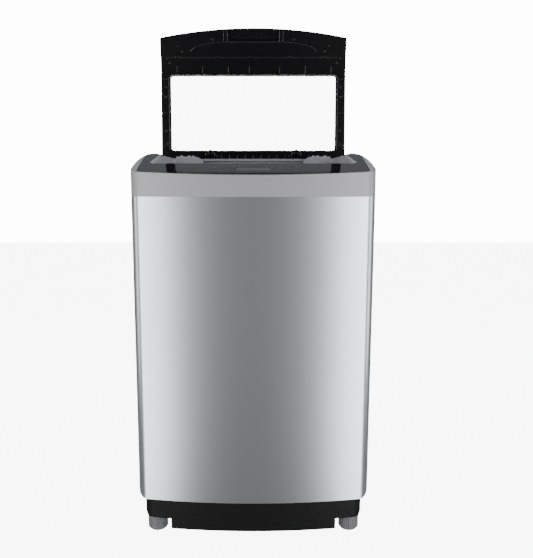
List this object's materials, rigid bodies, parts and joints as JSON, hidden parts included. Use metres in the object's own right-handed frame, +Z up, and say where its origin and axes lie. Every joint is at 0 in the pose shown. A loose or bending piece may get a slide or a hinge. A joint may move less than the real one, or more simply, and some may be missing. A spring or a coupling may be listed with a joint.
{
  "type": "top load washing machine",
  "caption": "Top-loading washing machine with a bowed silver front, gloss black control deck and a lifting lid with a clear window.",
  "frame": {"origin": "on the floor, under the middle of the machine's overall box", "axes": "+X to the viewer's right, +Y to the rear, +Z up"},
  "size_m": [0.54, 0.56, 1.2384],
  "materials": {
    "silver_steel": "satin",
    "zinc_steel": "satin",
    "bright_steel": "polished",
    "basket_steel": "brushed",
    "spring_steel": "satin",
    "base_plastic": "matt",
    "cover_plastic": "satin",
    "surround_plastic": "satin",
    "gloss_black": "high gloss",
    "lid_black": "semi-gloss",
    "smoked_glass": "gloss",
    "window_glass": "clear",
    "black_rubber": "matt",
    "screw_black": "satin",
    "white_plastic": "satin",
    "board_green": "solder mask",
    "dark_plastic": "matt",
    "tub_plastic": "satin",
    "pulsator_plastic": "satin",
    "cap_blue": "satin",
    "cast_metal": "as cast",
    "motor_paint": "satin",
    "foot_grey": "moulded"
  },
  "bodies": {
    "cabinet": {"cabinet_wrap": "silver_steel", "rear_panel": "zinc_steel", "service_cover": "zinc_steel", "base_frame": "base_plastic", "top_cover": "cover_plastic", "control_deck": "gloss_black", "inner_surround": "surround_plastic", "display_window": "smoked_glass", "control_housing": "white_plastic", "control_board": "board_green", "hinge_brackets": "lid_black", "hinge_pins": "bright_steel", "lid_switch": "white_plastic", "drawer_housing": "white_plastic", "inlet_valve": "dark_plastic", "level_sensor": "white_plastic", "cord_gland": "black_rubber", "side_grips": "dark_plastic", "rear_screws": "bright_steel", "suspension_brackets": "zinc_steel", "suspension_rods": "bright_steel", "suspension_springs": "spring_steel", "drain_bellows": "black_rubber", "drain_outlet": "dark_plastic"},
    "lid": {"lid_outer_frame": "gloss_black", "lid_inner_frame": "lid_black", "lid_window": "window_glass", "window_gasket": "black_rubber", "lid_screws": "screw_black", "lid_bumpers": "black_rubber"},
    "tub_unit": {"outer_tub": "tub_plastic", "tub_cover": "tub_plastic", "bearing_housing": "cast_metal", "shaft_bearings": "bright_steel", "shaft_seal": "black_rubber", "drive_bracket": "zinc_steel", "motor": "motor_paint", "drive_belt": "black_rubber", "drain_valve": "dark_plastic"},
    "basket_unit": {"wash_basket": "basket_steel", "balance_ring": "tub_plastic", "basket_base": "pulsator_plastic", "basket_hub": "cast_metal", "spin_shaft": "bright_steel"},
    "pulsator_unit": {"pulsator": "pulsator_plastic", "pulsator_cap": "cap_blue", "wash_shaft": "bright_steel", "drive_pulley": "cast_metal"},
    "motor_drive": {"motor_pulley": "cast_metal"},
    "drawer": {"detergent_drawer": "white_plastic"},
    "program_key": {"program_key": "gloss_black"},
    "level_key": {"level_key": "gloss_black"},
    "rinse_key": {"rinse_key": "gloss_black"},
    "spin_key": {"spin_key": "gloss_black"},
    "start_key": {"start_key": "gloss_black"},
    "power_key": {"power_key": "gloss_black"},
    "foot_front_left": {"foot_front_left": "foot_grey"},
    "foot_front_right": {"foot_front_right": "foot_grey"},
    "foot_rear_left": {"foot_rear_left": "foot_grey"},
    "foot_rear_right": {"foot_rear_right": "foot_grey"}
  },
  "joints": [
    {"name": "lid_hinge", "type": "hinge", "parent": "cabinet", "child": "lid", "pos_m": [0, 0.15, 0.905], "axis": [1, 0, 0], "range_deg": [0, 92]},
    {"name": "tub_bounce", "type": "slide", "parent": "cabinet", "child": "tub_unit", "axis": [0, 0, 1], "range_m": [-0.012, 0.006], "stiffness_N_per_m": 15000, "springref_m": 0.017, "deforming": ["suspension_springs", "drain_bellows"]},
    {"name": "basket_spin", "type": "hinge", "parent": "tub_unit", "child": "basket_unit", "pos_m": [0, 0, 0.4], "axis": [0, 0, 1], "continuous": true},
    {"name": "pulsator_spin", "type": "hinge", "parent": "tub_unit", "child": "pulsator_unit", "pos_m": [0, 0, 0.25], "axis": [0, 0, 1], "continuous": true},
    {"name": "motor_spin", "type": "hinge", "parent": "tub_unit", "child": "motor_drive", "pos_m": [0, 0.15, 0.1], "axis": [0, 0, 1], "continuous": true},
    {"name": "drawer_slide", "type": "slide", "parent": "cabinet", "child": "drawer", "axis": [0, -1, 0], "range_m": [0, 0.07]},
    {"name": "program_key_press", "type": "slide", "parent": "cabinet", "child": "program_key", "axis": [0, 0.2756, -0.9613], "range_m": [0, 0.0012], "stiffness_N_per_m": 400, "springref_m": -0.001},
    {"name": "level_key_press", "type": "slide", "parent": "cabinet", "child": "level_key", "axis": [0, 0.2756, -0.9613], "range_m": [0, 0.0012], "stiffness_N_per_m": 400, "springref_m": -0.001},
    {"name": "rinse_key_press", "type": "slide", "parent": "cabinet", "child": "rinse_key", "axis": [0, 0.2756, -0.9613], "range_m": [0, 0.0012], "stiffness_N_per_m": 400, "springref_m": -0.001},
    {"name": "spin_key_press", "type": "slide", "parent": "cabinet", "child": "spin_key", "axis": [0, 0.2756, -0.9613], "range_m": [0, 0.0012], "stiffness_N_per_m": 400, "springref_m": -0.001},
    {"name": "start_key_press", "type": "slide", "parent": "cabinet", "child": "start_key", "axis": [0, 0.2756, -0.9613], "range_m": [0, 0.0012], "stiffness_N_per_m": 400, "springref_m": -0.001},
    {"name": "power_key_press", "type": "slide", "parent": "cabinet", "child": "power_key", "axis": [0, 0.2756, -0.9613], "range_m": [0, 0.0012], "stiffness_N_per_m": 400, "springref_m": -0.001},
    {"name": "foot_front_left_turn", "type": "hinge", "parent": "cabinet", "child": "foot_front_left", "pos_m": [-0.2315, -0.205, 0.02], "axis": [0, 0, 1], "continuous": true},
    {"name": "foot_front_right_turn", "type": "hinge", "parent": "cabinet", "child": "foot_front_right", "pos_m": [0.2315, -0.205, 0.02], "axis": [0, 0, 1], "continuous": true},
    {"name": "foot_rear_left_turn", "type": "hinge", "parent": "cabinet", "child": "foot_rear_left", "pos_m": [-0.2315, 0.206, 0.02], "axis": [0, 0, 1], "continuous": true},
    {"name": "foot_rear_right_turn", "type": "hinge", "parent": "cabinet", "child": "foot_rear_right", "pos_m": [0.2315, 0.206, 0.02], "axis": [0, 0, 1], "continuous": true}
  ],
  "couplings": [
    {"joint": "motor_spin", "follows": "pulsator_spin", "ratio": 3.7778}
  ]
}
